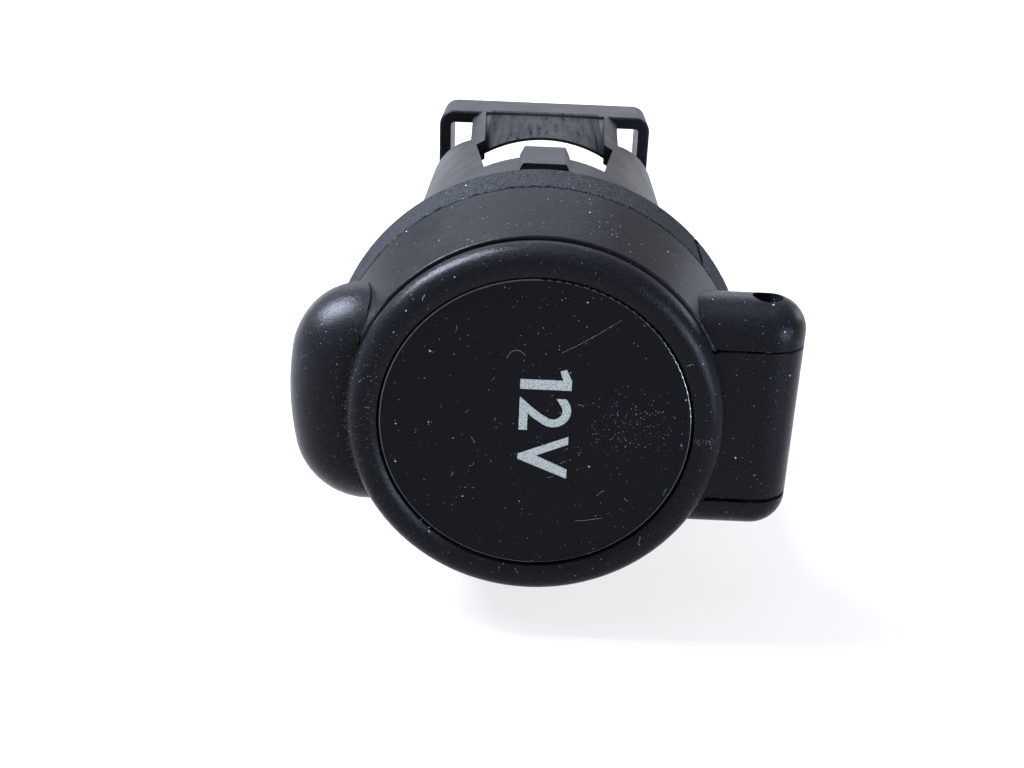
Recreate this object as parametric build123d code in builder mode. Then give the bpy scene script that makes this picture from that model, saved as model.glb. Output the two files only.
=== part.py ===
"""Car 12 V power socket with a sprung, hinged lid, for a round hole in a trim panel."""
import os
from math import sqrt

from build123d import *

# Driving dimensions in millimetres. The socket's axis is Y and the lid faces -Y.
# The hinge is on the +X side, and the front face of the panel lies at Y = 0.

# Contact barrel: plug bore, lip, and the narrower bottom that carries the contacts
bore_radius = 10.5
bore_length = 33.0
barrel_wall = 0.7
lip_width = 1.1
neck_radius = 8.0
neck_step = 1.4
neck_length = 3.6
bottom_hole_radius = 2.6

# Bezel: conical collar, mouth, floor and the spigot that holds barrel and cage
barrel_play = 0.2
spigot_wall = 0.95
spigot_length = 12.0
mouth_margin = 1.9
collar_lip = 0.95
collar_flare = 1.95
collar_depth = 6.8
collar_floor = 1.85
collar_edge = 0.2

# Rubber seal between collar and panel, split on a slant where its ends meet
seal_thickness = 3.45
seal_flare = 0.75
seal_play = 0.1
seal_edge = 0.25
split_width = 0.3
split_angle = 43.0
split_lean = 24.0

# Lid: domed rim, the web behind it and the disc set into its face
lid_gap = 0.2
rim_step = 0.25
rim_width = 2.5
rim_depth = 1.05
rim_rise = 0.2
rim_crown = 0.55
rim_shoulder = 0.2
crown_offset = 1.0
web_play = 1.0
web_thickness = 1.6
disc_thickness = 1.2
disc_groove = 0.1
disc_edge = 0.2

# Rubber ring under the lid
lid_seal_margin = 0.7
lid_seal_width = 2.2
lid_seal_seat = 0.5
lid_seal_nose = 0.8

# Lift tab, opposite the hinge
tab_reach = 5.25
tab_overlap = 1.2
tab_height = 18.6
tab_proud = 0.2
tab_depth = 6.1
tab_bulge = 1.8
tab_corner = 6.2
tab_front_round = 4.8
tab_rear_round = 0.5
tab_wall = 1.7
tab_front_wall = 2.6
tab_clearance = 0.1
bridge_width = 9.4
bridge_thickness = 2.1
bridge_grip = 0.9

# Hinge
pin_offset = 0.65
pin_setback = 3.3
pin_radius = 1.2
pin_recess = 1.3
pin_seat = 1.2
pin_clearance = 0.06
knuckle_radius = 3.0
knuckle_offset = 0.25
knuckle_top = 6.4
knuckle_bottom = -6.25
neck_plate = 1.75
neck_overlap = 0.9
ear_gap_top = 0.2
ear_gap_bottom = 0.35
ear_width_top = 3.55
ear_width_bottom = 2.85
ear_corner = 2.7
swing_clearance = 0.6

# Torsion spring inside the lower half of the knuckle
spring_wire = 0.5
spring_mean_radius = 1.85
spring_pitch = 0.75
spring_turns = 6
spring_leg = 0.8
spring_bend = 0.5
spring_play = 0.2

# Mounting cage: round sleeve, catch windows, locking lugs, windows, rear panels and frame
cage_play = 0.1
cage_wall = 1.8
catch_offset = 6.0
catch_length = 3.0
catch_width = 5.0
catch_height = 1.3
catch_play = 0.2
lug_start = 13.0
lug_length = 7.3
lug_base_width = 4.9
lug_top_width = 4.0
lug_height = 0.95
lug_edge = 0.3
window_length = 13.5
window_front_width = 11.8
window_rear_width = 14.8
panel_front_width = 12.9
panel_rear_width = 14.7
panel_sink = 1.0
panel_drop = 0.3
panel_lip = 0.3
panel_wall = 1.1
panel_overlap = 0.3
post_width = 1.6
side_window_length = 14.7
side_window_lead = 1.0
side_rail_height = 8.0
taper_length = 15.0
frame_front = 53.5
frame_depth = 8.0
frame_overlap = 1.5
frame_width = 26.0
frame_height = 24.0
frame_wall = 1.4
frame_corner = 1.8
frame_edge = 0.3

# Retaining ring pushed on the barrel behind the spigot
ring_thickness = 0.6
ring_notches = 8
ring_notch_width = 1.6
ring_notch_depth = 0.5

# Insulators, centre contact and the rivet that joins them
insulator_thickness = 1.0
insulator_gap = 0.6
base_thickness = 3.5
base_edge_gap = 0.7
contact_margin = 0.4
contact_land = 1.5
contact_thickness = 0.9
contact_rim = 0.6
rivet_radius = 1.5
rivet_bore = 0.7
rivet_head_height = 0.6

# Blade terminals and the rivet of the earth side
blade_width = 6.3
blade_thickness = 0.8
blade_gap = 0.4
blade_end = 49.5
blade_tip = 1.0
blade_hole_radius = 0.9
blade_hole_setback = 4.0
foot_margin = 0.2
ground_rivet_radius = 0.9
ground_rivet_head = 1.5
ground_rivet_height = 0.7
ground_rivet_margin = 0.1

# A cut runs this far past the faces that it opens
past = 5.0

# Radii that follow from the fits, from the bore outwards
barrel_radius = bore_radius + barrel_wall
lip_radius = barrel_radius + lip_width
barrel_seat = barrel_radius + barrel_play
spigot_radius = barrel_seat + spigot_wall
cage_inner = spigot_radius + cage_play
cage_radius = cage_inner + cage_wall
mouth_radius = lip_radius + mouth_margin
collar_front_radius = mouth_radius + collar_lip
collar_rear_radius = collar_front_radius + collar_flare
seal_radius = collar_rear_radius + seal_flare
rim_radius = collar_front_radius - rim_step
recess_radius = rim_radius - rim_width
disc_radius = recess_radius - disc_groove
web_radius = mouth_radius - web_play
lid_seal_radius = lip_radius - lid_seal_margin

# Places along the axis that follow from the stack
collar_rear = -seal_thickness
collar_front = collar_rear - collar_depth
floor_front = collar_rear - collar_floor
spigot_end = collar_rear + spigot_length
rim_rear = collar_front - lid_gap
face = rim_rear - rim_depth
web_front = face + disc_thickness
web_rear = web_front + web_thickness
tab_front = rim_rear - tab_proud
tab_rear = tab_front + tab_depth
barrel_front = floor_front - barrel_wall
bore_end = barrel_front + bore_length
neck_start = bore_end + neck_step
bottom_rear = neck_start + neck_length
bottom_front = bottom_rear - barrel_wall
contact_rear = bottom_front - insulator_thickness
contact_front = contact_rear - contact_thickness
base_rear = bottom_rear + base_thickness
foot_rear = base_rear + blade_thickness
catch_front = collar_rear + catch_offset
catch_rear = catch_front + catch_length
lug_end = lug_start + lug_length
panel_front = lug_end + window_length
frame_inside = frame_front + frame_overlap

# Places across the axis
pin_x = collar_rear_radius + pin_offset
pin_y = collar_front + pin_setback
knuckle_x = pin_x + knuckle_offset
knuckle_front = pin_y - knuckle_radius
ear_inner_top = knuckle_top + ear_gap_top
ear_inner_bottom = knuckle_bottom - ear_gap_bottom
ear_top = ear_inner_top + ear_width_top
ear_bottom = ear_inner_bottom - ear_width_bottom
pin_top = ear_top - pin_recess
pin_bottom = ear_bottom + pin_seat
tab_end = rim_radius + tab_reach
tab_root = rim_radius - tab_overlap
tab_top = tab_height / 2
panel_radius = cage_radius - panel_sink
panel_splay = (panel_rear_width - panel_front_width) / 2 / (frame_inside - panel_front)
panel_half_front = panel_front_width / 2 + panel_overlap
panel_half_rear = panel_rear_width / 2 + panel_overlap
panel_top = frame_height / 2 - panel_drop
panel_inside = panel_radius - panel_lip
panel_shoulder = sqrt(panel_radius**2 - panel_half_front**2)
panel_shoulder_inside = sqrt(panel_inside**2 - panel_half_front**2)
side_window_front = frame_front - side_window_length
post_front = panel_front_width / 2 + (side_window_front - panel_front) * panel_splay + post_width
post_rear = panel_rear_width / 2 + post_width
ground_x = neck_radius - ground_rivet_head - ground_rivet_margin
blade_x = ground_x - ground_rivet_head - blade_gap - blade_thickness / 2
insulator_radius = ground_x - ground_rivet_head - insulator_gap
contact_radius = insulator_radius - contact_margin
rivet_head_radius = contact_radius - contact_land
foot_end = rivet_head_radius + foot_margin
coil_bottom = knuckle_bottom + spring_bend + spring_wire / 2
coil_top = coil_bottom + spring_turns * spring_pitch
pocket_radius = spring_mean_radius + spring_wire / 2 + spring_play
pocket_top = coil_top + spring_bend + spring_wire / 2
leg_x = pin_x + spring_mean_radius
leg_lower_y = pin_y - spring_bend
leg_upper_y = pin_y + spring_bend
leg_hole_radius = spring_wire / 2 + spring_play / 2


def across(depth):
    """Plane across the axis at a depth along Y, seen from the front."""
    return Plane.XZ.offset(-depth)


def level(height):
    """Plane along X and Y at a height above the axis."""
    return Plane.XY.offset(height)


os.makedirs("parts", exist_ok=True)

# Bullet-shaped block, round on its outer side, that becomes the two hinge ears
with BuildPart() as ear_block:
    with BuildSketch(level(ear_bottom)):
        with Locations((knuckle_x, pin_y)):
            Circle(knuckle_radius)
            Rectangle(knuckle_x, 2 * knuckle_radius, align=(Align.MAX, Align.CENTER))
    extrude(amount=ear_top - ear_bottom)
    for end_face in ear_block.faces().filter_by(Axis.Z):
        fillet(end_face.edges().sort_by(Axis.X)[1:], ear_corner)

# Bezel: cone, floor and spigot in one moulding, with the ears on its hinge side
with BuildPart() as bezel:
    with BuildSketch(Plane.XY) as bezel_section:
        with BuildLine():
            Polyline(
                (0, collar_front),
                (collar_front_radius, collar_front),
                (collar_rear_radius, collar_rear),
                (spigot_radius, collar_rear),
                (spigot_radius, spigot_end),
                (0, spigot_end),
                close=True,
            )
        make_face()
        fillet(bezel_section.vertices().group_by(Axis.Y)[0].sort_by(Axis.X)[-1], collar_edge)
    revolve(axis=Axis.Y)
    add(ear_block.part)
    # Mouth for the lid's web, and the seat of the barrel
    with BuildSketch(Plane.XY):
        with BuildLine():
            Polyline(
                (0, collar_front - past),
                (mouth_radius, collar_front - past),
                (mouth_radius, floor_front),
                (barrel_seat, floor_front),
                (barrel_seat, spigot_end),
                (0, spigot_end),
                close=True,
            )
        make_face()
    revolve(axis=Axis.Y, mode=Mode.SUBTRACT)
    # Room between the ears for the knuckle, and in the front edge for the lid's neck
    with BuildSketch(level(ear_inner_bottom)):
        with Locations((knuckle_x - knuckle_radius - swing_clearance, collar_rear)):
            Rectangle(
                2 * knuckle_radius + swing_clearance + past,
                collar_depth + past,
                align=(Align.MIN, Align.MAX),
            )
        with Locations((web_radius - neck_overlap, knuckle_front + neck_plate + swing_clearance)):
            Rectangle(pin_x - web_radius, collar_depth + past, align=(Align.MIN, Align.MAX))
    extrude(amount=ear_inner_top - ear_inner_bottom, mode=Mode.SUBTRACT)
    # Notch, hidden behind the lift tab, for the bridge that carries the tab
    with BuildSketch(across(rim_rear + bridge_thickness + tab_clearance)):
        with Locations((neck_overlap - web_radius, 0)):
            Rectangle(tab_end, bridge_width + 2 * tab_clearance, align=(Align.MAX, Align.CENTER))
    extrude(amount=collar_depth + past, mode=Mode.SUBTRACT)
    # Pin hole, open at the top ear and closed in the lower one, and the spring's leg hole
    with BuildSketch(level(pin_bottom)):
        with Locations((pin_x, pin_y)):
            Circle(pin_radius)
    extrude(amount=ear_top + past - pin_bottom, mode=Mode.SUBTRACT)
    with BuildSketch(level(ear_inner_bottom)):
        with Locations((leg_x, leg_lower_y)):
            Circle(leg_hole_radius)
    extrude(amount=-spring_leg - spring_play, mode=Mode.SUBTRACT)
    # Snap catches on the spigot, steep towards the front and ramped to the rear
    with BuildSketch(level(-catch_width / 2)):
        with BuildLine():
            Polyline(
                (spigot_radius - spigot_wall / 2, catch_front),
                (spigot_radius + catch_height, catch_front),
                (spigot_radius, catch_rear),
                (spigot_radius - spigot_wall / 2, catch_rear),
                close=True,
            )
        make_face()
        mirror(about=Plane.YZ)
    extrude(amount=catch_width)
bezel.part.label = "bezel"
export_step(bezel.part, "parts/bezel.step")

# Panel seal: a rubber ring that flares towards the panel, cut once on a slant
split_radial = Vector(1, 0, 0).rotate(Axis.Y, -split_angle)
split_around = Vector(0, 0, 1).rotate(Axis.Y, -split_angle)
split_normal = split_around.rotate(Axis((0, 0, 0), split_radial), split_lean)
split_middle = split_radial * cage_radius + Vector(0, collar_rear / 2, 0)
with BuildPart() as panel_seal:
    with BuildSketch(Plane.XY) as seal_section:
        with BuildLine():
            Polyline(
                (cage_radius + seal_play, collar_rear),
                (collar_rear_radius, collar_rear),
                (seal_radius, 0),
                (cage_radius + seal_play, 0),
                close=True,
            )
        make_face()
        fillet(seal_section.vertices().group_by(Axis.Y)[-1].sort_by(Axis.X)[-1], seal_edge)
    revolve(axis=Axis.Y)
    with BuildSketch(Plane(split_middle, split_radial, split_normal)):
        Rectangle(seal_radius, 2 * seal_thickness)
    extrude(amount=split_width / 2, both=True, mode=Mode.SUBTRACT)
panel_seal.part.label = "panel_seal"
export_step(panel_seal.part, "parts/panel_seal.step")

# Lift tab: a rounded block with a bulging end, hollow from behind and shaped to the collar
with BuildPart() as lift_tab:
    with BuildSketch(across(tab_front)) as tab_outline:
        with BuildLine():
            Polyline(
                (tab_bulge - tab_end, tab_top),
                (0, tab_top),
                (0, -tab_top),
                (tab_bulge - tab_end, -tab_top),
            )
            ThreePointArc(
                (tab_bulge - tab_end, -tab_top),
                (-tab_end, 0),
                (tab_bulge - tab_end, tab_top),
            )
        make_face()
        fillet(tab_outline.vertices().group_by(Axis.X)[0], tab_corner)
    extrude(amount=-tab_depth)
    tab_faces = lift_tab.faces().filter_by(Axis.Y).sort_by(Axis.Y)
    fillet(tab_faces[0].edges().sort_by(Axis.X)[:-1], tab_front_round)
    tab_back = lift_tab.faces().filter_by(Axis.Y).sort_by(Axis.Y)[-1]
    fillet(tab_back.edges().sort_by(Axis.X)[:-1], tab_rear_round)
    with BuildSketch(across(tab_rear)):
        add(tab_outline.sketch)
        offset(amount=-tab_wall)
    extrude(amount=tab_depth - tab_front_wall, mode=Mode.SUBTRACT)
    # Room for the lid's rim in front and for the collar's cone behind it
    with BuildSketch(Plane.XY):
        with BuildLine():
            Polyline(
                (0, tab_front - past),
                (tab_root, tab_front - past),
                (tab_root, rim_rear),
                (collar_front_radius + tab_clearance, rim_rear),
                (collar_rear_radius + tab_clearance, collar_rear),
                (0, collar_rear),
                close=True,
            )
        make_face()
    revolve(axis=Axis.Y, mode=Mode.SUBTRACT)

# Lid: rim, web, neck, knuckle and lift tab in one moulding
with BuildPart() as lid:
    with BuildSketch(Plane.XY):
        with BuildLine():
            ThreePointArc(
                (recess_radius, face - rim_rise),
                (recess_radius + crown_offset, face - rim_crown),
                (rim_radius, rim_rear - rim_shoulder),
            )
            Polyline(
                (rim_radius, rim_rear - rim_shoulder),
                (rim_radius, rim_rear),
                (web_radius, rim_rear),
                (web_radius, web_rear),
                (0, web_rear),
                (0, web_front),
                (recess_radius, web_front),
                (recess_radius, face - rim_rise),
            )
        make_face()
    revolve(axis=Axis.Y)
    # Groove that the rubber ring sits in
    with BuildSketch(across(web_rear)):
        Circle(lid_seal_radius)
        Circle(lid_seal_radius - lid_seal_width, mode=Mode.SUBTRACT)
    extrude(amount=lid_seal_seat, mode=Mode.SUBTRACT)
    # Neck and knuckle, under the rim on the hinge side
    with BuildSketch(level(knuckle_bottom)):
        with Locations((knuckle_x, pin_y)):
            Circle(knuckle_radius)
        with Locations((web_radius - neck_overlap, knuckle_front)):
            Rectangle(knuckle_x - web_radius + neck_overlap, neck_plate, align=(Align.MIN, Align.MIN))
        with Locations((web_radius - neck_overlap, rim_rear)):
            Rectangle(
                rim_radius - web_radius,
                knuckle_front + neck_plate - rim_rear,
                align=(Align.MIN, Align.MIN),
            )
    extrude(amount=knuckle_top - knuckle_bottom)
    # Bridge to the tab on the other side
    with BuildSketch(level(-bridge_width / 2)):
        with Locations((neck_overlap - web_radius, rim_rear)):
            Rectangle(
                collar_front_radius + bridge_grip - web_radius + neck_overlap,
                bridge_thickness,
                align=(Align.MAX, Align.MIN),
            )
    extrude(amount=bridge_width)
    add(lift_tab.part)
    # Running bore for the pin, the spring's pocket below and its leg hole
    with BuildSketch(level(knuckle_bottom)):
        with Locations((pin_x, pin_y)):
            Circle(pin_radius + pin_clearance)
    extrude(amount=knuckle_top - knuckle_bottom, mode=Mode.SUBTRACT)
    with BuildSketch(level(knuckle_bottom)):
        with Locations((pin_x, pin_y)):
            Circle(pocket_radius)
    extrude(amount=pocket_top - knuckle_bottom, mode=Mode.SUBTRACT)
    with BuildSketch(level(pocket_top)):
        with Locations((leg_x, leg_upper_y)):
            Circle(leg_hole_radius)
    extrude(amount=spring_leg + spring_play, mode=Mode.SUBTRACT)
lid.part.label = "lid"
export_step(lid.part, "parts/lid.step")

# Disc in the lid's face
with BuildPart() as lid_disc:
    with BuildSketch(across(web_front)):
        Circle(disc_radius)
    extrude(amount=disc_thickness)
    fillet(lid_disc.faces().sort_by(Axis.Y)[0].edges(), disc_edge)
lid_disc.part.label = "lid_disc"
export_step(lid_disc.part, "parts/lid_disc.step")

# Rubber ring under the lid, with a round nose that meets the barrel's lip
with BuildPart() as lid_seal:
    with BuildSketch(Plane.XY) as lid_seal_section:
        with Locations((lid_seal_radius, web_rear - lid_seal_seat)):
            Rectangle(
                lid_seal_width,
                barrel_front - lid_gap - web_rear + lid_seal_seat,
                align=(Align.MAX, Align.MIN),
            )
        fillet(lid_seal_section.vertices().group_by(Axis.Y)[-1], lid_seal_nose)
    revolve(axis=Axis.Y)
lid_seal.part.label = "lid_seal"
export_step(lid_seal.part, "parts/lid_seal.step")

# Hinge pin, pressed into the ears
with BuildPart() as hinge_pin:
    with BuildSketch(level(pin_bottom)):
        with Locations((pin_x, pin_y)):
            Circle(pin_radius)
    extrude(amount=pin_top - pin_bottom)
    chamfer(hinge_pin.edges().group_by(Axis.Z)[-1], pin_radius / 4)
hinge_pin.part.label = "hinge_pin"
export_step(hinge_pin.part, "parts/hinge_pin.step")

# Torsion spring round the pin, with one leg in the lower ear and one in the knuckle
with BuildPart() as hinge_spring:
    with BuildLine() as spring_path:
        coil = Helix(
            spring_pitch,
            spring_turns * spring_pitch,
            spring_mean_radius,
            center=(pin_x, pin_y, coil_bottom),
        )
        lower_bend = TangentArc(
            coil @ 0,
            coil @ 0 - Vector(0, spring_bend, spring_bend),
            tangent=coil % 0 * -1,
        )
        Line(lower_bend @ 1, (leg_x, leg_lower_y, ear_inner_bottom - spring_leg))
        upper_bend = TangentArc(coil @ 1, coil @ 1 + Vector(0, spring_bend, spring_bend), tangent=coil % 1)
        Line(upper_bend @ 1, (leg_x, leg_upper_y, pocket_top + spring_leg))
    wire = spring_path.wires()[0]
    with BuildSketch(Plane(wire @ 0, z_dir=wire % 0)):
        Circle(spring_wire / 2)
    sweep(path=wire)
hinge_spring.part.label = "hinge_spring"
export_step(hinge_spring.part, "parts/hinge_spring.step")

# Rear frame of the cage: a short rectangular tube with softened outer edges
with BuildPart() as rear_frame:
    with BuildSketch(across(frame_front)):
        RectangleRounded(frame_width, frame_height, frame_corner)
    extrude(amount=-frame_depth)
    fillet(rear_frame.faces().filter_by(Axis.Y).edges(), frame_edge)
    with BuildSketch(across(frame_front)):
        RectangleRounded(
            frame_width - 2 * frame_wall,
            frame_height - 2 * frame_wall,
            frame_corner - frame_wall,
        )
    extrude(amount=-frame_depth, mode=Mode.SUBTRACT)

# Sunk panels between the posts: an arched lip at the window, drawn out flat to meet the frame
with BuildPart() as rear_panels:
    with BuildSketch(across(panel_front)):
        with BuildLine():
            ThreePointArc(
                (-panel_half_front, panel_shoulder),
                (0, panel_radius),
                (panel_half_front, panel_shoulder),
            )
            Line((panel_half_front, panel_shoulder), (panel_half_front, panel_shoulder_inside))
            ThreePointArc(
                (panel_half_front, panel_shoulder_inside),
                (0, panel_inside),
                (-panel_half_front, panel_shoulder_inside),
            )
            Line((-panel_half_front, panel_shoulder_inside), (-panel_half_front, panel_shoulder))
        make_face()
    with BuildSketch(across(frame_inside)):
        with Locations((0, panel_top)):
            Rectangle(2 * panel_half_rear, panel_wall, align=(Align.CENTER, Align.MAX))
    loft()
    mirror(about=Plane.XY)

# Mounting cage: a sleeve that grows into posts, side rails, panels and a rectangular frame
with BuildPart() as mounting_cage:
    with BuildSketch(Plane.XY):
        with Locations((cage_inner, collar_rear)):
            Rectangle(cage_wall, frame_inside - collar_rear, align=(Align.MIN, Align.MIN))
    revolve(axis=Axis.Y)
    # Flats that lead the round sleeve into the frame, at the sides and above and below
    with BuildSketch(Plane.XY):
        with BuildLine():
            Polyline(
                (cage_radius, frame_front - taper_length),
                (frame_width / 2, frame_front),
                (frame_width / 2, frame_inside),
                (cage_radius + past, frame_inside),
                (cage_radius + past, frame_front - taper_length),
                close=True,
            )
        make_face()
        mirror(about=Plane.YZ)
    extrude(amount=cage_radius, both=True, mode=Mode.SUBTRACT)
    with BuildSketch(Plane.YZ):
        with BuildLine():
            Polyline(
                (frame_front - taper_length, cage_radius),
                (frame_front, frame_height / 2),
                (frame_inside, frame_height / 2),
                (frame_inside, cage_radius + past),
                (frame_front - taper_length, cage_radius + past),
                close=True,
            )
        make_face()
        mirror(about=Plane.XZ)
    extrude(amount=cage_radius, both=True, mode=Mode.SUBTRACT)
    # Windows above and below that widen to the rear, and the room between the posts behind them
    with BuildSketch(Plane.XY):
        with BuildLine():
            Polyline(
                (window_front_width / 2, lug_end),
                (window_rear_width / 2, panel_front),
                (panel_front_width / 2, panel_front),
                (panel_rear_width / 2, frame_inside),
                (-panel_rear_width / 2, frame_inside),
                (-panel_front_width / 2, panel_front),
                (-window_rear_width / 2, panel_front),
                (-window_front_width / 2, lug_end),
                close=True,
            )
        make_face()
    extrude(amount=cage_radius + past, both=True, mode=Mode.SUBTRACT)
    # Slanted windows between the posts and the side rails
    for side in (1, -1):
        with BuildSketch(level(side * side_rail_height / 2)):
            with BuildLine():
                Polyline(
                    (post_front, side_window_front),
                    (cage_radius, frame_front - side_window_lead),
                    (cage_radius, frame_inside),
                    (post_rear, frame_inside),
                    close=True,
                )
            make_face()
            mirror(about=Plane.YZ)
        extrude(amount=side * cage_radius, mode=Mode.SUBTRACT)
    add(rear_panels.part)
    add(rear_frame.part)
    # Locking lugs, wedge-sided, in front of the windows
    with BuildSketch(across(lug_start)) as lug_section:
        with BuildLine():
            Polyline(
                (-lug_base_width / 2, cage_radius - cage_wall / 2),
                (-lug_base_width / 2, cage_radius),
                (-lug_top_width / 2, cage_radius + lug_height),
                (lug_top_width / 2, cage_radius + lug_height),
                (lug_base_width / 2, cage_radius),
                (lug_base_width / 2, cage_radius - cage_wall / 2),
                close=True,
            )
        make_face()
        fillet(lug_section.vertices().group_by(Axis.Z)[-1], lug_edge)
        mirror(about=Plane.XZ)
    extrude(amount=-lug_length)
    # Windows that snap over the catches of the spigot
    with BuildSketch(Plane.YZ):
        with Locations((catch_front, 0)):
            Rectangle(
                catch_length + catch_play,
                catch_width + 2 * catch_play,
                align=(Align.MIN, Align.CENTER),
            )
    extrude(amount=cage_radius + past, both=True, mode=Mode.SUBTRACT)
mounting_cage.part.label = "mounting_cage"
export_step(mounting_cage.part, "parts/mounting_cage.step")

# Contact barrel: drawn shell with a flat lip, a stepped neck and a pierced bottom
with BuildPart() as contact_barrel:
    with BuildSketch(Plane.XY):
        with BuildLine():
            Polyline(
                (bore_radius, barrel_front),
                (lip_radius, barrel_front),
                (lip_radius, floor_front),
                (barrel_radius, floor_front),
                (barrel_radius, bore_end),
                (neck_radius + barrel_wall, neck_start),
                (neck_radius + barrel_wall, bottom_rear),
                (bottom_hole_radius, bottom_rear),
                (bottom_hole_radius, bottom_front),
                (neck_radius, bottom_front),
                (neck_radius, neck_start),
                (bore_radius, bore_end),
                close=True,
            )
        make_face()
    revolve(axis=Axis.Y)
    with BuildSketch(across(bottom_front)):
        with Locations((ground_x, 0)):
            Circle(ground_rivet_radius)
    extrude(amount=-barrel_wall, mode=Mode.SUBTRACT)
contact_barrel.part.label = "contact_barrel"
export_step(contact_barrel.part, "parts/contact_barrel.step")

# Retaining ring: spring steel washer with a notched rim
with BuildPart() as retaining_ring:
    with BuildSketch(across(spigot_end)):
        Circle(spigot_radius)
        Circle(barrel_radius, mode=Mode.SUBTRACT)
        with PolarLocations(spigot_radius, ring_notches):
            Rectangle(2 * ring_notch_depth, ring_notch_width, mode=Mode.SUBTRACT)
    extrude(amount=-ring_thickness)
retaining_ring.part.label = "retaining_ring"
export_step(retaining_ring.part, "parts/retaining_ring.step")

# Inner insulator: shouldered washer, its boss fills the hole in the barrel's bottom
with BuildPart() as inner_insulator:
    with BuildSketch(Plane.XY):
        with BuildLine():
            Polyline(
                (rivet_radius, contact_rear),
                (insulator_radius, contact_rear),
                (insulator_radius, bottom_front),
                (bottom_hole_radius, bottom_front),
                (bottom_hole_radius, bottom_rear),
                (rivet_radius, bottom_rear),
                close=True,
            )
        make_face()
    revolve(axis=Axis.Y)
inner_insulator.part.label = "inner_insulator"
export_step(inner_insulator.part, "parts/inner_insulator.step")

# Base insulator: plate behind the barrel's bottom, cut straight beside the earth blade
with BuildPart() as base_insulator:
    with BuildSketch(across(bottom_rear)):
        Circle(neck_radius + barrel_wall)
        Circle(rivet_radius, mode=Mode.SUBTRACT)
        with Locations((blade_x - blade_thickness / 2 - base_edge_gap, 0)):
            Rectangle(
                2 * neck_radius,
                4 * neck_radius,
                align=(Align.MIN, Align.CENTER),
                mode=Mode.SUBTRACT,
            )
    extrude(amount=-base_thickness)
base_insulator.part.label = "base_insulator"
export_step(base_insulator.part, "parts/base_insulator.step")

# Centre contact: plated disc with a raised rim round the rivet's head
with BuildPart() as centre_contact:
    with BuildSketch(Plane.XY):
        with BuildLine():
            Polyline(
                (rivet_radius, contact_rear),
                (contact_radius, contact_rear),
                (contact_radius - contact_rim / 2, contact_front - contact_rim),
                (rivet_head_radius + contact_rim / 2, contact_front - contact_rim),
                (rivet_head_radius, contact_front),
                (rivet_radius, contact_front),
                close=True,
            )
        make_face()
    revolve(axis=Axis.Y)
centre_contact.part.label = "centre_contact"
export_step(centre_contact.part, "parts/centre_contact.step")

# Contact rivet: tubular, from the contact through both insulators to the positive blade
with BuildPart() as contact_rivet:
    with BuildSketch(Plane.XY):
        with BuildLine():
            Polyline(
                (0, contact_front - rivet_head_height),
                (rivet_head_radius, contact_front - rivet_head_height),
                (rivet_head_radius, contact_front),
                (rivet_radius, contact_front),
                (rivet_radius, foot_rear),
                (rivet_head_radius, foot_rear),
                (rivet_radius, foot_rear + rivet_head_height),
                (rivet_bore, foot_rear + rivet_head_height),
                (rivet_bore, contact_rear),
                (0, contact_rear),
                close=True,
            )
        make_face()
    revolve(axis=Axis.Y)
contact_rivet.part.label = "contact_rivet"
export_step(contact_rivet.part, "parts/contact_rivet.step")

# Positive terminal: foot under the rivet, bent back into a blade
with BuildPart() as positive_terminal:
    with BuildSketch(across(base_rear)):
        with Locations((foot_end, 0)):
            Rectangle(
                foot_end + blade_x + blade_thickness / 2,
                blade_width,
                align=(Align.MAX, Align.CENTER),
            )
        Circle(rivet_radius, mode=Mode.SUBTRACT)
    extrude(amount=-blade_thickness)
    with BuildSketch(Plane.YZ.offset(-blade_x)) as positive_blade:
        with Locations((base_rear, 0)):
            Rectangle(blade_end - base_rear, blade_width, align=(Align.MIN, Align.CENTER))
        chamfer(positive_blade.vertices().group_by(Axis.Y)[-1], blade_tip)
        with Locations((blade_end - blade_hole_setback, 0)):
            Circle(blade_hole_radius, mode=Mode.SUBTRACT)
    extrude(amount=blade_thickness / 2, both=True)
positive_terminal.part.label = "positive_terminal"
export_step(positive_terminal.part, "parts/positive_terminal.step")

# Negative terminal: foot riveted to the barrel's bottom, bent back into a blade
with BuildPart() as negative_terminal:
    with BuildSketch(across(bottom_rear)):
        with Locations((blade_x - blade_thickness / 2, 0)):
            Rectangle(
                ground_x + ground_rivet_head - blade_x + blade_thickness / 2,
                blade_width,
                align=(Align.MIN, Align.CENTER),
            )
        with Locations((ground_x, 0)):
            Circle(ground_rivet_radius, mode=Mode.SUBTRACT)
    extrude(amount=-blade_thickness)
    with BuildSketch(Plane.YZ.offset(blade_x)) as negative_blade:
        with Locations((bottom_rear, 0)):
            Rectangle(blade_end - bottom_rear, blade_width, align=(Align.MIN, Align.CENTER))
        chamfer(negative_blade.vertices().group_by(Axis.Y)[-1], blade_tip)
        with Locations((blade_end - blade_hole_setback, 0)):
            Circle(blade_hole_radius, mode=Mode.SUBTRACT)
    extrude(amount=blade_thickness / 2, both=True)
negative_terminal.part.label = "negative_terminal"
export_step(negative_terminal.part, "parts/negative_terminal.step")

# Ground rivet: joins the negative terminal's foot to the barrel's bottom
with BuildPart() as ground_rivet:
    with BuildSketch(across(bottom_front)):
        with Locations((ground_x, 0)):
            Circle(ground_rivet_head)
    extrude(amount=ground_rivet_height)
    with BuildSketch(across(bottom_front)):
        with Locations((ground_x, 0)):
            Circle(ground_rivet_radius)
    extrude(amount=-barrel_wall - blade_thickness)
    with BuildSketch(across(bottom_rear + blade_thickness)):
        with Locations((ground_x, 0)):
            Circle(ground_rivet_head)
    extrude(amount=-ground_rivet_height)
ground_rivet.part.label = "ground_rivet"
export_step(ground_rivet.part, "parts/ground_rivet.step")
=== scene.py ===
import math
import random

import bmesh
import bpy
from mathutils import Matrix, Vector
from mathutils.bvhtree import BVHTree


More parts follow.
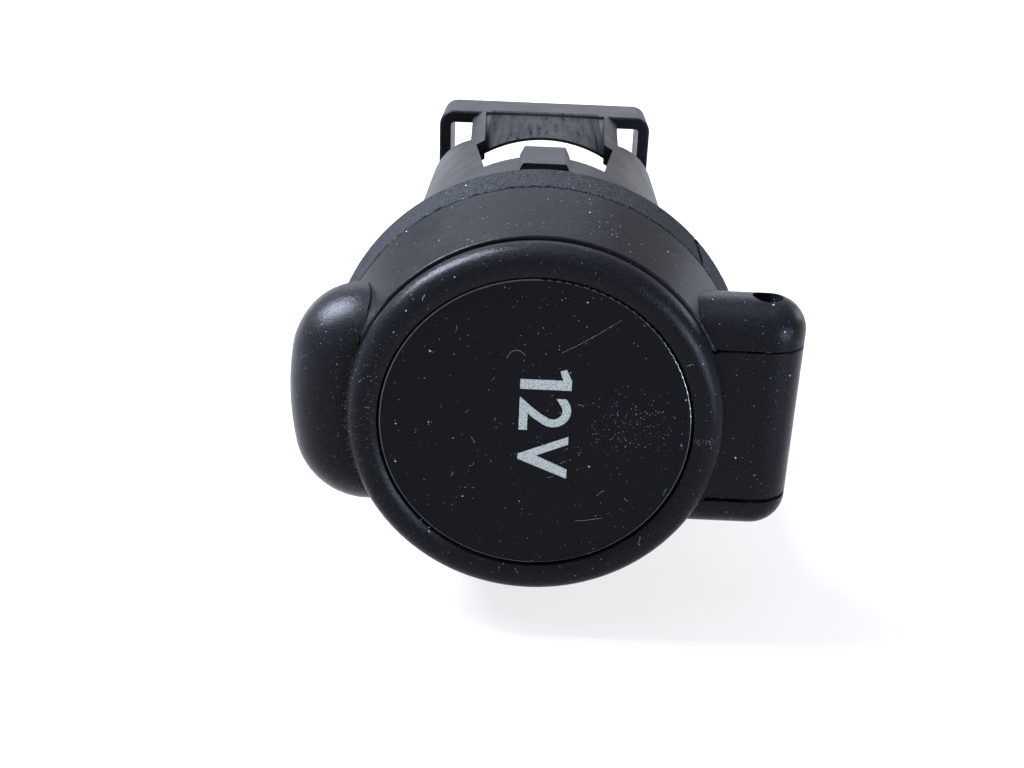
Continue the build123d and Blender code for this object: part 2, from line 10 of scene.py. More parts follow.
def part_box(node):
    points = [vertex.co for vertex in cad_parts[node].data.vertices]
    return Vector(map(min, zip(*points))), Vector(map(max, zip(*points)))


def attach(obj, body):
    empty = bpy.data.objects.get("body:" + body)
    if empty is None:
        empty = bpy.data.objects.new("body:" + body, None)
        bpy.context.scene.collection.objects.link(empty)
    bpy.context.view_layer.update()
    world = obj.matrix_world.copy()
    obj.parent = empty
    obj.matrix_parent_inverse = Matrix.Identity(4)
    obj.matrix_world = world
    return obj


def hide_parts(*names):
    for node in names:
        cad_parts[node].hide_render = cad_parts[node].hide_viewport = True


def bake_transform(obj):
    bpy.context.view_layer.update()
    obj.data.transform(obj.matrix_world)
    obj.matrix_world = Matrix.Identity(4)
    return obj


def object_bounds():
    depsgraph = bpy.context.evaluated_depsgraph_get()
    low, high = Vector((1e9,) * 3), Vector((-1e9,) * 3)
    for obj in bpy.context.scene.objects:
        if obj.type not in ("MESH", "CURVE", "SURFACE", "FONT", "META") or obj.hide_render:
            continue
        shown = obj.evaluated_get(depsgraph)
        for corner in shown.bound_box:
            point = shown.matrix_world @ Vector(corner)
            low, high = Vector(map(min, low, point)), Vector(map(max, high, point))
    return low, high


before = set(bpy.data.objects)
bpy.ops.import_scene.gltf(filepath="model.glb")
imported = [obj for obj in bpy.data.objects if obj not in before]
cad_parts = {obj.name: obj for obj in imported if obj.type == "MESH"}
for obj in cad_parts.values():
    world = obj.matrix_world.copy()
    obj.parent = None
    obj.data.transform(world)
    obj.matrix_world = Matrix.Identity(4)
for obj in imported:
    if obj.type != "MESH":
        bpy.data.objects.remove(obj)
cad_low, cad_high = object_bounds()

# Contact barrel: the shell that takes the plug and carries the earth side of the circuit.
# Drawn from mild steel sheet in several hits and nickel plated; its lip rests on the bezel's floor.


def linear(code):
    """A colour written as sRGB hex, as the linear values that a shader takes."""
    levels = [int(code[i : i + 2], 16) / 255 for i in (1, 3, 5)]
    return [v / 12.92 if v <= 0.04045 else ((v + 0.055) / 1.055) ** 2.4 for v in levels] + [1.0]


def per_mm(size):
    """Texture scale at which one feature is size millimetres across."""
    return 1000 / size


def add(tree, kind, settings=None, links=None):
    """Add a node: settings give its properties or the values of its inputs, links feed its inputs."""
    made = tree.nodes.new(kind)
    for name, value in (settings or {}).items():
        if isinstance(name, int) or name in made.inputs:
            made.inputs[name].default_value = value
        else:
            setattr(made, name, value)
    for name, source in (links or {}).items():
        tree.links.new(source, made.inputs[name])
    return made


def new_finish(name, **values):
    """A material with one Principled shader; returns it, its node tree, the shader and object coordinates."""
    material = bpy.data.materials.new(name)
    material.use_nodes = True
    tree = material.node_tree
    shader = tree.nodes["Principled BSDF"]
    for socket, value in values.items():
        shader.inputs[socket.replace("_", " ")].default_value = value
    place = add(tree, "ShaderNodeTexCoord").outputs["Object"]
    return material, tree, shader, place


def dress(material, *nodes):
    """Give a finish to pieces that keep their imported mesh."""
    for node in nodes:
        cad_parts[node].material_slots[0].material = material


# Nickel plate on drawn steel: warm grey mirror, dulled by fine lines along the draw and handling haze
nickel_plate, tree, shader, place = new_finish("nickel_plated_steel", Metallic=1.0)
draw_line_mm = 0.12
draw_line_length_mm = 9.0
draw_line_depth_mm = 0.02
haze_mm = 5.0
along_draw = add(
    tree,
    "ShaderNodeMapping",
    {"Scale": (per_mm(draw_line_mm), per_mm(draw_line_length_mm), per_mm(draw_line_mm))},
    {"Vector": place},
)
draw_lines = add(tree, "ShaderNodeTexNoise", {"Scale": 1.0, "Detail": 3.0}, {"Vector": along_draw.outputs[0]})
haze = add(tree, "ShaderNodeTexNoise", {"Scale": per_mm(haze_mm), "Detail": 4.0}, {"Vector": place})
plate_colour = add(
    tree,
    "ShaderNodeMix",
    {"data_type": "RGBA", 6: linear("#cfc8bb"), 7: linear("#a39c90")},
    {0: haze.outputs[0]},
)
dull = add(
    tree,
    "ShaderNodeMapRange",
    {"From Min": 0.3, "From Max": 0.7, "To Min": 0.18, "To Max": 0.36},
    {"Value": draw_lines.outputs[0]},
)
scored = add(
    tree,
    "ShaderNodeBump",
    {"Strength": 0.15, "Distance": draw_line_depth_mm / 1000},
    {"Height": draw_lines.outputs[0]},
)
tree.links.new(plate_colour.outputs[2], shader.inputs["Base Color"])
tree.links.new(dull.outputs[0], shader.inputs["Roughness"])
tree.links.new(scored.outputs[0], shader.inputs["Normal"])
dress(nickel_plate, "contact_barrel")

# Insulators: a shouldered washer inside the barrel's bottom and a plate behind it.
# Pressed from natural phenolic board, and held only by the rivet that passes through both.

# Phenolic board: warm brown, half matt, and cloudy where the paper fibre lies near the surface
phenolic_board, tree, shader, place = new_finish("phenolic_board", Roughness=0.55)
fibre_mm = 0.5
fibre_depth_mm = 0.05
fibre = add(tree, "ShaderNodeTexNoise", {"Scale": per_mm(fibre_mm), "Detail": 5.0}, {"Vector": place})
fibre_colour = add(
    tree,
    "ShaderNodeMix",
    {"data_type": "RGBA", 6: linear("#8a6a42"), 7: linear("#b99c70")},
    {0: fibre.outputs[0]},
)
fibre_relief = add(
    tree,
    "ShaderNodeBump",
    {"Strength": 0.2, "Distance": fibre_depth_mm / 1000},
    {"Height": fibre.outputs[0]},
)
tree.links.new(fibre_colour.outputs[2], shader.inputs["Base Color"])
tree.links.new(fibre_relief.outputs[0], shader.inputs["Normal"])
dress(phenolic_board, "inner_insulator", "base_insulator")

# Contacts: centre contact, tubular rivet and the two 6.3 mm blades, one live and one to earth.
# Stamped or turned from brass; the rivet's rear end is rolled over the positive blade's foot.

# Stamped brass: yellow and fairly bright, with browner and duller clouds of tarnish
stamped_brass, tree, shader, place = new_finish("stamped_brass", Metallic=1.0)
tarnish_mm = 2.5
tarnish = add(tree, "ShaderNodeTexNoise", {"Scale": per_mm(tarnish_mm), "Detail": 5.0}, {"Vector": place})
brass_colour = add(
    tree,
    "ShaderNodeMix",
    {"data_type": "RGBA", 6: linear("#d9b45c"), 7: linear("#a9803a")},
    {0: tarnish.outputs[0]},
)
brass_gloss = add(
    tree,
    "ShaderNodeMapRange",
    {"From Min": 0.3, "From Max": 0.7, "To Min": 0.2, "To Max": 0.42},
    {"Value": tarnish.outputs[0]},
)
tree.links.new(brass_colour.outputs[2], shader.inputs["Base Color"])
tree.links.new(brass_gloss.outputs[0], shader.inputs["Roughness"])
dress(stamped_brass, "centre_contact", "contact_rivet", "positive_terminal", "negative_terminal")

# Ground rivet, hinge pin and retaining ring: plain and drawn steel.
# The rivet earths the barrel, the pin is pressed into the ears, the ring grips the barrel.

# Drawn steel: cool grey and half bright, hazed by handling
drawn_steel, tree, shader, place = new_finish("drawn_steel", Metallic=1.0)
steel_haze_mm = 0.8
steel_haze = add(
    tree,
    "ShaderNodeTexNoise",
    {"Scale": per_mm(steel_haze_mm), "Detail": 4.0},
    {"Vector": place},
)
steel_colour = add(
    tree,
    "ShaderNodeMix",
    {"data_type": "RGBA", 6: linear("#b4b4b6"), 7: linear("#86868a")},
    {0: steel_haze.outputs[0]},
)
steel_gloss = add(
    tree,
    "ShaderNodeMapRange",
    {"From Min": 0.3, "From Max": 0.7, "To Min": 0.22, "To Max": 0.4},
    {"Value": steel_haze.outputs[0]},
)
tree.links.new(steel_colour.outputs[2], shader.inputs["Base Color"])
tree.links.new(steel_gloss.outputs[0], shader.inputs["Roughness"])
dress(drawn_steel, "ground_rivet", "hinge_pin", "retaining_ring")

# Hinge spring: six turns of spring steel wire round the pin, hidden in the knuckle.
# One leg stays in the lower ear and the other goes with the lid, so the coil winds up between them.
wound_spring = bpy.data.objects.new("wound_spring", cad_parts["hinge_spring"].data.copy())
bpy.context.scene.collection.objects.link(wound_spring)
wound_spring.material_slots[0].material = drawn_steel
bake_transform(wound_spring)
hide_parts("hinge_spring")

# Bezel: conical collar, hinge ears, mouth and rear spigot in one moulding.
# Black ABS from a spark-eroded mould, which leaves a fine even grain that softens every highlight.


def specks(tree, place, cell_mm, share, radius_mm):
    """Mask of crumbs: one in a share of the cells, denser in places, each up to the given radius."""
    ragged_mm = 0.12
    drift_mm = 3.5
    drift_weight = 0.8
    full_size_odds = 1.4
    crumb = add(tree, "ShaderNodeTexNoise", {"Scale": per_mm(ragged_mm), "Detail": 1.0}, {"Vector": place})
    swerve = add(
        tree,
        "ShaderNodeVectorMath",
        {"operation": "MULTIPLY_ADD", 1: [radius_mm / 1000] * 3},
        {0: crumb.outputs["Color"], 2: place},
    )
    cells = add(tree, "ShaderNodeTexVoronoi", {"Scale": per_mm(cell_mm)}, {"Vector": swerve.outputs[0]})
    drift = add(tree, "ShaderNodeTexNoise", {"Scale": per_mm(drift_mm), "Detail": 2.0}, {"Vector": place})
    chance = add(tree, "ShaderNodeSeparateColor", {}, {"Color": cells.outputs["Color"]})
    odds = add(
        tree,
        "ShaderNodeMath",
        {"operation": "MULTIPLY_ADD", 1: drift_weight},
        {0: drift.outputs[0], 2: chance.outputs[0]},
    )
    reach = add(
        tree,
        "ShaderNodeMapRange",
        {
            "From Min": full_size_odds - share,
            "From Max": full_size_odds,
            "To Min": 0.0,
            "To Max": radius_mm / cell_mm,
        },
        {"Value": odds.outputs[0]},
    )
    return add(
        tree,
        "ShaderNodeMath",
        {"operation": "LESS_THAN"},
        {0: cells.outputs["Distance"], 1: reach.outputs[0]},
    ).outputs[0]


def tinted(tree, under, colour, mask, amount):
    """Colour laid over another colour where a mask says, at most by the given amount."""
    cover = add(tree, "ShaderNodeMath", {"operation": "MULTIPLY", 1: amount}, {0: mask})
    return add(
        tree,
        "ShaderNodeMix",
        {"data_type": "RGBA", 7: linear(colour)},
        {0: cover.outputs[0], 6: under},
    ).outputs[2]


def black_moulding(name, colour, grain_mm, depth_mm, gloss, shine, mottling, fine_dust, coarse_dust):
    """Black plastic or rubber: mould grain, uneven gloss and settled dust; returns what a caller adds to."""
    cloud_mm = 4.0
    gloss_spread = 0.04
    material, tree, shader, place = new_finish(name, Specular_IOR_Level=shine)
    grain = add(tree, "ShaderNodeTexNoise", {"Scale": per_mm(grain_mm), "Detail": 2.0}, {"Vector": place})
    relief = add(
        tree,
        "ShaderNodeBump",
        {"Strength": 1.0, "Distance": depth_mm / 1000},
        {"Height": grain.outputs[0]},
    )
    cloud = add(tree, "ShaderNodeTexNoise", {"Scale": per_mm(cloud_mm), "Detail": 3.0}, {"Vector": place})
    satin = add(
        tree,
        "ShaderNodeMapRange",
        {"From Min": 0.3, "From Max": 0.7, "To Min": gloss - gloss_spread, "To Max": gloss + gloss_spread},
        {"Value": cloud.outputs[0]},
    )
    mottle = add(
        tree,
        "ShaderNodeMapRange",
        {"From Min": 0.4, "From Max": 0.75, "To Min": 0.0, "To Max": mottling},
        {"Value": grain.outputs[0]},
    )
    shade = add(
        tree,
        "ShaderNodeMix",
        {"data_type": "RGBA", 6: linear(colour), 7: linear("#5c6068")},
        {0: mottle.outputs[0]},
    ).outputs[2]
    fine_crumbs = specks(tree, place, cell_mm=0.33, share=fine_dust, radius_mm=0.05)
    coarse_crumbs = specks(tree, place, cell_mm=0.9, share=coarse_dust, radius_mm=0.08)
    shade = tinted(tree, shade, "#9a9ca2", fine_crumbs, 0.3)
    shade = tinted(tree, shade, "#b4b6ba", coarse_crumbs, 0.6)
    tree.links.new(shade, shader.inputs["Base Color"])
    tree.links.new(satin.outputs[0], shader.inputs["Roughness"])
    tree.links.new(relief.outputs[0], shader.inputs["Normal"])
    return material, tree, shader, place, shade


# Grained ABS: near black with a cold sheen, its highlights broken into fine sparkle by the grain.
# Such a grain can be finer than a pixel here, so on all the blacks it is drawn coarse enough to show.
grained_abs = black_moulding(
    "grained_black_abs",
    colour="#08090b",
    grain_mm=0.12,
    depth_mm=0.03,
    gloss=0.26,
    shine=0.06,
    mottling=0.05,
    fine_dust=0.6,
    coarse_dust=0.26,
)[0]
dress(grained_abs, "bezel")

# Panel seal: rubber ring between the collar and the panel, split once on a slant near the hinge.
# Cut from extruded EPDM profile, and it lies round the front of the cage's sleeve.

# EPDM rubber: matt and coarse, and the dust that it holds makes it the greyest of the front parts
seal_shine = 0.035
dusty_epdm, tree, shader, place, shade = black_moulding(
    "dusty_epdm_rubber",
    colour="#0c0d0e",
    grain_mm=0.16,
    depth_mm=0.08,
    gloss=0.55,
    shine=seal_shine,
    mottling=0.17,
    fine_dust=0.7,
    coarse_dust=0.45,
)
# Painted shade: where its front edge meets the collar and along the split, a ragged near-black band without
# reflection stands in for the shade in that crease and gap
seal_low, seal_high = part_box("panel_seal")
split_angle = math.radians(43)
split_lean = math.radians(24)
split_radius_mm = 14.25
painted_shade_width_mm = 0.4
rag_mm = 0.3
split_middle = Vector((math.cos(split_angle), 0, math.sin(split_angle))) * split_radius_mm / 1000
split_middle.y = seal_low.y / 2
split_normal = Vector((-math.sin(split_angle), 0, math.cos(split_angle))) * math.cos(split_lean)
split_normal.y = -math.sin(split_lean)
rag = add(tree, "ShaderNodeTexNoise", {"Scale": per_mm(rag_mm), "Detail": 3.0}, {"Vector": place})
ragged = add(
    tree,
    "ShaderNodeMapRange",
    {"From Min": 0.35, "From Max": 0.65, "To Min": 0.0, "To Max": painted_shade_width_mm / 1000},
    {"Value": rag.outputs[0]},
)
sides = add(tree, "ShaderNodeSeparateXYZ", {}, {"Vector": place})
behind_edge = add(tree, "ShaderNodeMath", {"operation": "SUBTRACT", 1: seal_low.y}, {0: sides.outputs["Y"]})
from_split = add(tree, "ShaderNodeVectorMath", {"operation": "SUBTRACT", 1: split_middle}, {0: place})
split_side = add(
    tree,
    "ShaderNodeVectorMath",
    {"operation": "DOT_PRODUCT", 1: split_normal},
    {0: from_split.outputs[0]},
)
beside_split = add(tree, "ShaderNodeMath", {"operation": "ABSOLUTE"}, {0: split_side.outputs["Value"]})
nearest = add(
    tree,
    "ShaderNodeMath",
    {"operation": "MINIMUM"},
    {0: behind_edge.outputs[0], 1: beside_split.outputs[0]},
)
painted_crease_shade = add(tree, "ShaderNodeMath", {"operation": "LESS_THAN"}, {0: nearest.outputs[0], 1: ragged.outputs[0]})
# Painted shade in the crease at the collar and in the split: the colour is darkened to near black there
shade = tinted(tree, shade, "#050506", painted_crease_shade.outputs[0], 0.7)
tree.links.new(shade, shader.inputs["Base Color"])
# The painted shade band also loses its reflection
painted_shade_shine = add(
    tree,
    "ShaderNodeMapRange",
    {"To Min": seal_shine, "To Max": 0.0},
    {"Value": painted_crease_shade.outputs[0]},
)
tree.links.new(painted_shade_shine.outputs[0], shader.inputs["Specular IOR Level"])
dress(dusty_epdm, "panel_seal")

# Mounting cage: round sleeve, posts and rails that end in a rectangular frame.
# Moulded in one shot in black nylon; it snaps over the catches of the bezel's spigot.

# Smooth nylon: from a polished tool, so it has little grain and looks greyer than the front
cage_shine = 0.05
smooth_nylon, tree, shader, place = black_moulding(
    "smooth_black_nylon",
    colour="#0e0f11",
    grain_mm=0.3,
    depth_mm=0.01,
    gloss=0.4,
    shine=cage_shine,
    mottling=0.03,
    fine_dust=0.15,
    coarse_dust=0.05,
)[:4]
# The panels between the posts are duller, with flow streaks that run along the socket
panel_middle_mm = 44.3
panel_half_length_mm = 10.5
panel_half_width_mm = 6.6
sides = add(tree, "ShaderNodeSeparateXYZ", {}, {"Vector": place})
along_panel = add(
    tree,
    "ShaderNodeMath",
    {"operation": "COMPARE", 1: panel_middle_mm / 1000, 2: panel_half_length_mm / 1000},
    {0: sides.outputs["Y"]},
)
across_panel = add(
    tree,
    "ShaderNodeMath",
    {"operation": "COMPARE", 1: 0.0, 2: panel_half_width_mm / 1000},
    {0: sides.outputs["X"]},
)
on_panel = add(
    tree,
    "ShaderNodeMath",
    {"operation": "MULTIPLY"},
    {0: along_panel.outputs[0], 1: across_panel.outputs[0]},
)
streak_mm = 0.5
streak_length_mm = 14.0
along_flow = add(
    tree,
    "ShaderNodeMapping",
    {"Scale": (per_mm(streak_mm), per_mm(streak_length_mm), per_mm(streak_mm))},
    {"Vector": place},
)
streaks = add(tree, "ShaderNodeTexNoise", {"Scale": 1.0, "Detail": 2.0}, {"Vector": along_flow.outputs[0]})
streak_shine = add(
    tree,
    "ShaderNodeMapRange",
    {"From Min": 0.3, "From Max": 0.7, "To Min": 0.0, "To Max": 0.015},
    {"Value": streaks.outputs[0]},
)
shine_by_place = add(
    tree,
    "ShaderNodeMix",
    {2: cage_shine},
    {0: on_panel.outputs[0], 3: streak_shine.outputs[0]},
)
tree.links.new(shine_by_place.outputs[0], shader.inputs["Specular IOR Level"])
dress(smooth_nylon, "mounting_cage")

# Lid: domed rim, hinge knuckle and lift tab in one moulding of the bezel's ABS.
# It turns on the steel pin between the ears, and the spring in its knuckle closes it.
dress(grained_abs, "lid")

# Lid seal: rubber ring under the lid, moulded in the panel seal's EPDM.
# It is seated in a groove of the lid's web and closes on the barrel's lip.
dress(dusty_epdm, "lid_seal")

# Lid disc: a plain plate in the lid's face, die cut from black sheet.
# It is set flush in the lid's recess, with a fine groove left round it.

# Satin plate: an even black that shows the dust on it, with an edge that the die left bright
face_gloss = 0.5
face_shine = 0.045
edge_gloss = 0.22
edge_shine = 0.8
edge_mm = 0.2
satin_plate, tree, shader, place = black_moulding(
    "satin_black_plate",
    colour="#060708",
    grain_mm=0.1,
    depth_mm=0.01,
    gloss=face_gloss,
    shine=face_shine,
    mottling=0.045,
    fine_dust=0.5,
    coarse_dust=0.26,
)[:4]
disc_low, disc_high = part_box("lid_disc")
flat = add(tree, "ShaderNodeVectorMath", {"operation": "MULTIPLY", 1: (1, 0, 1)}, {0: place})
from_axis = add(tree, "ShaderNodeVectorMath", {"operation": "LENGTH"}, {0: flat.outputs[0]})
bright_edge = add(
    tree,
    "ShaderNodeMath",
    {"operation": "GREATER_THAN", 1: disc_high.x - edge_mm / 1000},
    {0: from_axis.outputs["Value"]},
)
disc_shine = add(
    tree,
    "ShaderNodeMapRange",
    {"To Min": face_shine, "To Max": edge_shine},
    {"Value": bright_edge.outputs[0]},
)
disc_gloss = add(
    tree,
    "ShaderNodeMapRange",
    {"To Min": face_gloss, "To Max": edge_gloss},
    {"Value": bright_edge.outputs[0]},
)
tree.links.new(disc_shine.outputs[0], shader.inputs["Specular IOR Level"])
tree.links.new(disc_gloss.outputs[0], shader.inputs["Roughness"])
dress(satin_plate, "lid_disc")

# Voltage mark: plain figures and letter, pad printed in pale grey ink on the disc.
# It reads downwards, with the tops towards the hinge. The outlines run along the line and up, in mm.
ink_mm = 0.03
mark_top_mm = 5.05
mark_foot_mm = -1.25
bowl_centre = Vector((3.5, 2.62))
bowl_outer = 1.4
bowl_inner = 0.74
bowl_steps = 24


def bowl(radius, start, end):
    """Points on an arc of the figure two, from one angle to another."""
    turns = [math.radians(start + (end - start) * i / bowl_steps) for i in range(bowl_steps + 1)]
    return [bowl_centre + radius * Vector((math.cos(t), math.sin(t))) for t in turns]


one = [(0.17, 3.04), (0, 3.52), (0.93, 3.96), (1.74, 3.96), (1.74, 0), (0.92, 0), (0.92, 3.29)]
two = bowl(bowl_outer, 137, -25)
two += [(4.18, 1.1), (3.76, 0.66), (5.22, 0.66), (5.22, 0)]
two += [(2.45, 0), (2.45, 0.08), (3.14, 0.84), (3.78, 1.66)]
two += bowl(bowl_inner, -32, 125) + [(2.48, 2.85)]
vee = [(5.67, 3.94), (6.34, 3.94), (7.42, 1.46), (8.54, 3.94), (9.36, 3.94), (7.76, 0), (7.32, 0)]

mark_mesh = bmesh.new()
for outline in (one, two, vee):
    corners = []
    for along, up in outline:
        spot = Vector(((mark_foot_mm + up) / 1000, disc_low.y, (mark_top_mm - along) / 1000))
        corners.append(mark_mesh.verts.new(spot))
    ink_face = mark_mesh.faces.new(corners)
    lifted = bmesh.ops.extrude_face_region(mark_mesh, geom=[ink_face])
    raised = [v for v in lifted["geom"] if isinstance(v, bmesh.types.BMVert)]
    bmesh.ops.translate(mark_mesh, verts=raised, vec=(0, -ink_mm / 1000, 0))
bmesh.ops.recalc_face_normals(mark_mesh, faces=mark_mesh.faces)
mesh = bpy.data.meshes.new("voltage_mark")
mark_mesh.to_mesh(mesh)
mark_mesh.free()
voltage_mark = bpy.data.objects.new("voltage_mark", mesh)
bpy.context.scene.collection.objects.link(voltage_mark)

# Pad printing ink: pale grey and matt, thinner and so darker in small pinholes
pad_ink, tree, shader, place = new_finish("pad_printed_ink", Roughness=0.55)
pinhole_mm = 0.16
pinholes = add(tree, "ShaderNodeTexNoise", {"Scale": per_mm(pinhole_mm), "Detail": 2.0}, {"Vector": place})
ink_cover = add(
    tree,
    "ShaderNodeMapRange",
    {"From Min": 0.35, "From Max": 0.55, "To Min": 0.0, "To Max": 1.0},
    {"Value": pinholes.outputs[0]},
)
ink_shade = add(
    tree,
    "ShaderNodeMix",
    {"data_type": "RGBA", 6: linear("#6a6f6b"), 7: linear("#939890")},
    {0: ink_cover.outputs[0]},
)
tree.links.new(ink_shade.outputs[2], shader.inputs["Base Color"])
mesh.materials.append(pad_ink)
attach(voltage_mark, "lid")

# Dust and lint on the lid: crumbs held in its creases and groove, a patch beside the mark, a few hairs.
# Loose, pale and matt; it lies where it fell and goes with the lid.
lid_skins = [
    BVHTree.FromPolygons([v.co for v in mesh.vertices], [p.vertices[:] for p in mesh.polygons])
    for mesh in (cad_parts["lid"].data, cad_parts["lid_disc"].data)
]


def on_lid(right_mm, rise_mm):
    """Where a crumb dropped on the lid from in front comes to lie, and which way the surface faces there."""
    drop_mm = 10
    start = Vector((right_mm / 1000, cad_low.y - drop_mm / 1000, rise_mm / 1000))
    hits = [skin.ray_cast(start, Vector((0, 1, 0))) for skin in lid_skins]
    return min(hits, key=lambda hit: hit[3] or 1.0)[:2]


def around(turn_degrees, out_mm):
    """Place to the right and up, in mm, from an angle round the lid's axis and a distance from it."""
    turn = math.radians(turn_degrees)
    return out_mm * math.cos(turn), out_mm * math.sin(turn)


# Each crumb is a place in mm and its largest radius: the patch beside the mark, the crease at the tab,
# the disc's groove, a scuff on the rim towards the hinge, and the rim and tab on the left
chance = random.Random(12)
crease_mm = 14.95
groove_mm = 12.35
crumb_sides = 5
fallen = [(chance.gauss(7.4, 1.9), chance.gauss(0.5, 1.4), 0.042) for i in range(170)]
fallen += [(*around(chance.uniform(158, 206), chance.gauss(crease_mm, 0.1)), 0.035) for i in range(150)]
fallen += [(*around(chance.uniform(0, 360), chance.gauss(groove_mm, 0.07)), 0.025) for i in range(110)]
fallen += [(chance.uniform(12.1, 14.2), chance.gauss(-0.3, 0.12), 0.03) for i in range(60)]
fallen += [(*around(chance.gauss(180, 22), chance.uniform(12.6, 16.8)), 0.032) for i in range(260)]
dust_mesh = bmesh.new()
for right, rise, reach in fallen:
    spot, facing = on_lid(right, rise)
    if spot is None:
        continue
    first = facing.orthogonal().normalized()
    second = facing.cross(first)
    size = chance.uniform(0.3, 1.0) * reach / 1000
    turn = chance.uniform(0, math.tau)
    corners = []
    for i in range(crumb_sides):
        swing = turn + math.tau * i / crumb_sides
        length = size * chance.uniform(0.5, 1.0)
        lift = facing * chance.uniform(0.2, 0.6) * size
        corner = spot + lift + length * (math.cos(swing) * first + math.sin(swing) * second)
        corners.append(dust_mesh.verts.new(corner))
    dust_mesh.faces.new(corners)
mesh = bpy.data.meshes.new("lid_dust")
dust_mesh.to_mesh(mesh)
dust_mesh.free()
lid_dust = bpy.data.objects.new("lid_dust", mesh)
bpy.context.scene.collection.objects.link(lid_dust)

# Eight hairs as they lie, then short ones scattered over disc and rim
hairs = [
    [(-2.37, 5.79), (-2.13, 6.35), (-1.68, 6.56), (-1.21, 6.39), (-0.98, 6.07)],
    [(1.84, 6.43), (2.63, 6.85), (3.76, 7.5), (6.17, 9.28)],
    [(3.25, 2.14), (3.51, 2.21), (3.73, 2.02)],
    [(5.2, -5.75), (5.44, -5.37), (5.76, -5.24)],
    [(3.62, -8.12), (4.6, -8.0), (5.77, -7.73)],
    [(11.28, 5.94), (11.47, 6.12), (11.72, 6.13)],
    [(11.74, 3.8), (11.98, 3.92), (12.17, 3.54)],
    [(10.47, -5.42), (10.68, -4.8)],
]
for i in range(20):
    middle = Vector(around(chance.uniform(60, 330), chance.uniform(3, 14.3)))
    swing = chance.uniform(0, math.tau)
    reach = chance.uniform(0.12, 0.3)
    half = reach * Vector((math.cos(swing), math.sin(swing)))
    bow = half.orthogonal() * chance.uniform(-0.8, 0.8)
    hairs.append([middle - half, middle + bow, middle + half])
hair_radius_mm = 0.008
lint = bpy.data.curves.new("lid_lint", "CURVE")
lint.dimensions = "3D"
lint.bevel_depth = hair_radius_mm / 1000
lint.bevel_resolution = 1
for hair in hairs:
    strand = lint.splines.new("NURBS")
    strand.points.add(len(hair) - 1)
    strand.use_endpoint_u = True
    for point, (right, rise) in zip(strand.points, hair):
        spot, facing = on_lid(right, rise)
        point.co = (*(spot + facing * hair_radius_mm / 1000), 1)
lid_lint = bpy.data.objects.new("lid_lint", lint)
bpy.context.scene.collection.objects.link(lid_lint)

# Lint: pale grey, quite matt, some threads and crumbs darker than others
pale_lint, tree, shader, place = new_finish("pale_lint", Roughness=0.9, Specular_IOR_Level=0.1)
tone_mm = 0.6
tone = add(tree, "ShaderNodeTexNoise", {"Scale": per_mm(tone_mm), "Detail": 2.0}, {"Vector": place})
lint_colour = add(
    tree,
    "ShaderNodeMix",
    {"data_type": "RGBA", 6: linear("#5c5f63"), 7: linear("#a9acaf")},
    {0: tone.outputs[0]},
)
tree.links.new(lint_colour.outputs[2], shader.inputs["Base Color"])
for piece in (lid_dust, lid_lint):
    piece.data.materials.append(pale_lint)
    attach(piece, "lid")

# Floor: a plain white table; the socket lies on the seal's rim and on the frame's rear edge.
# It glows a little, so that it stays white and only the tight shadow beside the socket shows.
floor_half_m = 1.5
floor_gap_mm = 0.1
rear_edge_mm = 1.0
cage_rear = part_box("mounting_cage")[1].y
cage_points = [v.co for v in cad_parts["mounting_cage"].data.vertices]
frame_low = min(p.z for p in cage_points if p.y > cage_rear - rear_edge_mm / 1000)
floor_lean = math.atan2(frame_low - seal_low.z, cage_rear - seal_high.y)
floor_mesh = bmesh.new()
bmesh.ops.create_grid(floor_mesh, x_segments=1, y_segments=1, size=floor_half_m)
mesh = bpy.data.meshes.new("floor")
floor_mesh.to_mesh(mesh)
floor_mesh.free()
floor = bpy.data.objects.new("floor", mesh)
floor.location = (0, seal_high.y, seal_low.z - floor_gap_mm / 1000)
floor.rotation_euler = (floor_lean, 0, 0)
bpy.context.scene.collection.objects.link(floor)

# Matt white laminate: an even white with no reflection; the glow is full far from the socket,
# so that the floor's edge is lost in the white room
white_table, tree, shader, place = new_finish("white_table", Roughness=0.8, Specular_IOR_Level=0.0)
shadow_reach_m = 0.15
full_glow_m = 0.6
far = add(tree, "ShaderNodeVectorMath", {"operation": "LENGTH"}, {0: place})
glow = add(
    tree,
    "ShaderNodeMapRange",
    {"From Min": shadow_reach_m, "From Max": full_glow_m, "To Min": 0.78, "To Max": 1.0},
    {"Value": far.outputs["Value"]},
)
tree.links.new(glow.outputs[0], shader.inputs["Emission Strength"])
shader.inputs["Base Color"].default_value = linear("#6a6a6a")
shader.inputs["Emission Color"].default_value = linear("#ffffff")
mesh.materials.append(white_table)

# Light: a white room that lights the socket less from in front, a broad softbox overhead and one behind,
# a tall window high on the left for the long highlight on the rim, and two small ones on the right.
world = bpy.data.worlds.new("white_room")
bpy.context.scene.world = world
world.use_nodes = True
tree = world.node_tree
room = tree.nodes["Background"]
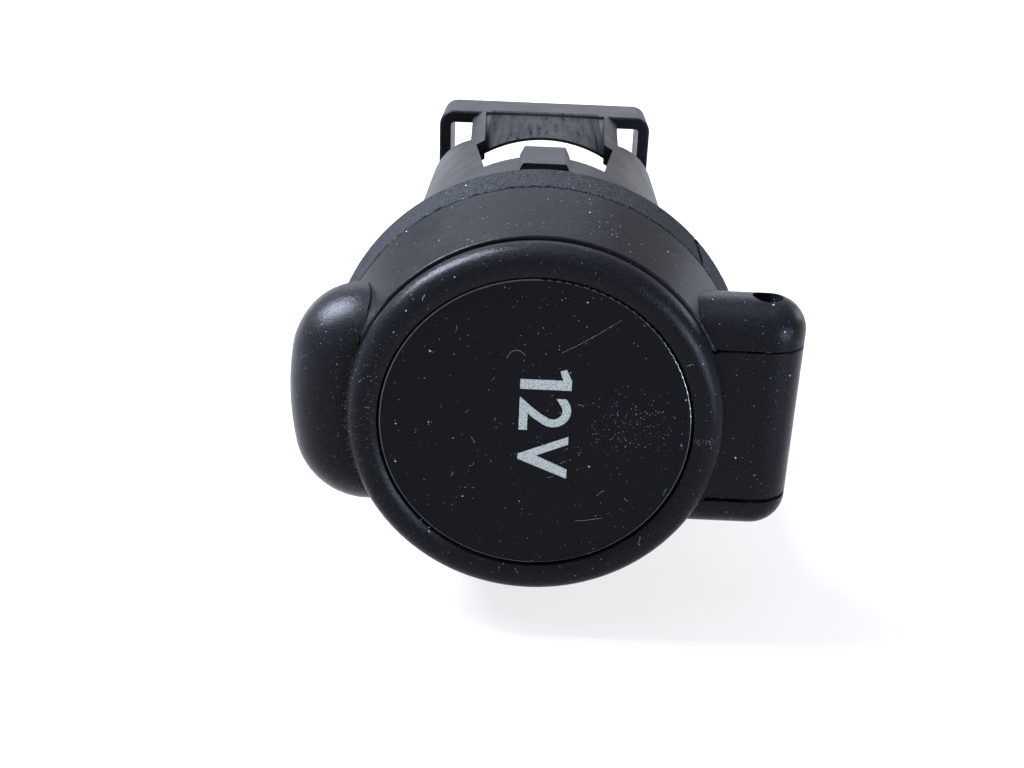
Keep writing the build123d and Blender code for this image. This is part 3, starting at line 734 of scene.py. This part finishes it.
# Seen, mirrored or looked through it is plain white; only the light that it throws is dimmer in front
path = add(tree, "ShaderNodeLightPath")
seen = add(
    tree,
    "ShaderNodeMath",
    {"operation": "MAXIMUM"},
    {0: path.outputs["Is Camera Ray"], 1: path.outputs["Is Glossy Ray"]},
)
shown = add(
    tree,
    "ShaderNodeMath",
    {"operation": "MAXIMUM"},
    {0: seen.outputs[0], 1: path.outputs["Is Transmission Ray"]},
)
heading = add(tree, "ShaderNodeTexCoord")
sides = add(tree, "ShaderNodeSeparateXYZ", {}, {"Vector": heading.outputs["Generated"]})
depth = add(
    tree,
    "ShaderNodeMapRange",
    {"From Min": -0.6, "From Max": 0.3, "To Min": 0.2, "To Max": 0.75},
    {"Value": sides.outputs["Y"]},
)
level = add(tree, "ShaderNodeMix", {3: 1.0}, {0: shown.outputs[0], 2: depth.outputs[0]})
tree.links.new(level.outputs[0], room.inputs["Strength"])
room.inputs["Color"].default_value = linear("#ffffff")

# Each lamp is its place, width and height in metres, its power in watts and its colour
lamps = {
    "overhead_softbox": ((-0.2, -0.1, 0.95), 0.9, 0.9, 7.5, "#e6ecff"),
    "rear_softbox": ((-0.08, 0.8, 0.55), 0.7, 0.7, 3.4, "#e6ecff"),
    "left_window": ((-0.36, 0.07, 0.43), 0.2, 0.32, 27.0, "#e2eaff"),
    "right_window": ((0.44, 0.28, 0.14), 0.14, 0.14, 0.9, "#d6e2ff"),
    "low_right_window": ((0.37, -0.33, 0.02), 0.12, 0.12, 3.4, "#cfdcff"),
}
for name, (spot, width, height, power, colour) in lamps.items():
    lamp = bpy.data.lights.new(name, "AREA")
    lamp.shape = "RECTANGLE"
    lamp.size = width
    lamp.size_y = height
    lamp.energy = power
    lamp.color = linear(colour)[:3]
    holder = bpy.data.objects.new(name, lamp)
    holder.location = spot
    holder.rotation_euler = (-Vector(spot)).to_track_quat("-Z", "Y").to_euler()
    bpy.context.scene.collection.objects.link(holder)

# Camera: close in front of the lid, looking down on it by about 23 degrees.
# Its lens, place and tilt were fitted to the outlines in the photograph.
camera_data = bpy.data.cameras.new("camera")
camera_data.sensor_width = 36.0
camera_data.lens = 42.715
camera_data.clip_start = 0.005
camera = bpy.data.objects.new("camera", camera_data)
camera.location = (-0.0007, -0.09728, 0.04063)
camera.rotation_euler = (math.radians(66.67), math.radians(-2.04), math.radians(1.673))
bpy.context.scene.collection.objects.link(camera)
bpy.context.scene.camera = camera
bpy.context.scene.view_settings.view_transform = "Standard"
